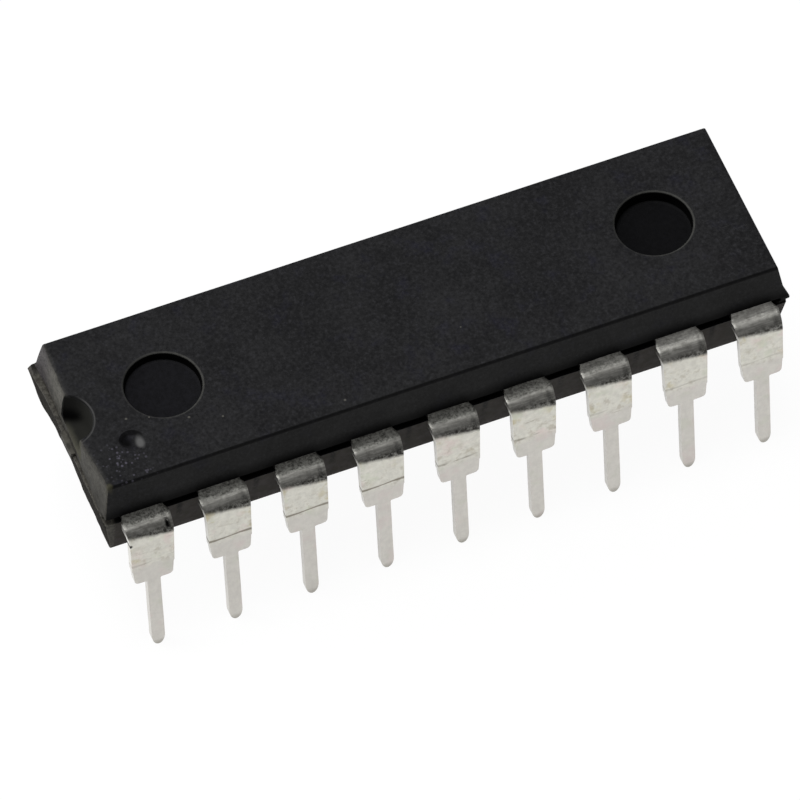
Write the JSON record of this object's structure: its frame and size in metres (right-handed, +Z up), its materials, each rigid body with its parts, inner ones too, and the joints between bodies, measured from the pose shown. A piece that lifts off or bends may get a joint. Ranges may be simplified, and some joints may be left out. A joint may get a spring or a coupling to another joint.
{
  "type": "dual in-line integrated circuit",
  "caption": "Black moulded chip package with a row of bent flat metal leads along each long side, an end notch, a dimple and two round moulding marks.",
  "frame": {"origin": "on the plane of the lead tips, under the middle of the lead pattern", "axes": "+X along the block from the notch end to the plain end, +Z up from the lead tips to the top face; leads 1 to 9 are on the -Y side"},
  "size_m": [0.0228, 0.0088, 0.0068],
  "materials": {
    "block": "matte moulded",
    "leads": "matte tin plating",
    "adhesive": "cured silver-filled resin",
    "silicon": "polished",
    "wire": "drawn gold"
  },
  "bodies": {
    "root": {"body": "block", "pin_1": "leads", "pin_2": "leads", "pin_3": "leads", "pin_4": "leads", "pin_5": "leads", "pin_6": "leads", "pin_7": "leads", "pin_8": "leads", "pin_9": "leads", "pin_10": "leads", "pin_11": "leads", "pin_12": "leads", "pin_13": "leads", "pin_14": "leads", "pin_15": "leads", "pin_16": "leads", "pin_17": "leads", "pin_18": "leads", "die_pad": "leads", "die_attach": "adhesive", "die": "silicon", "bond_wires": "wire"}
  },
  "joints": []
}
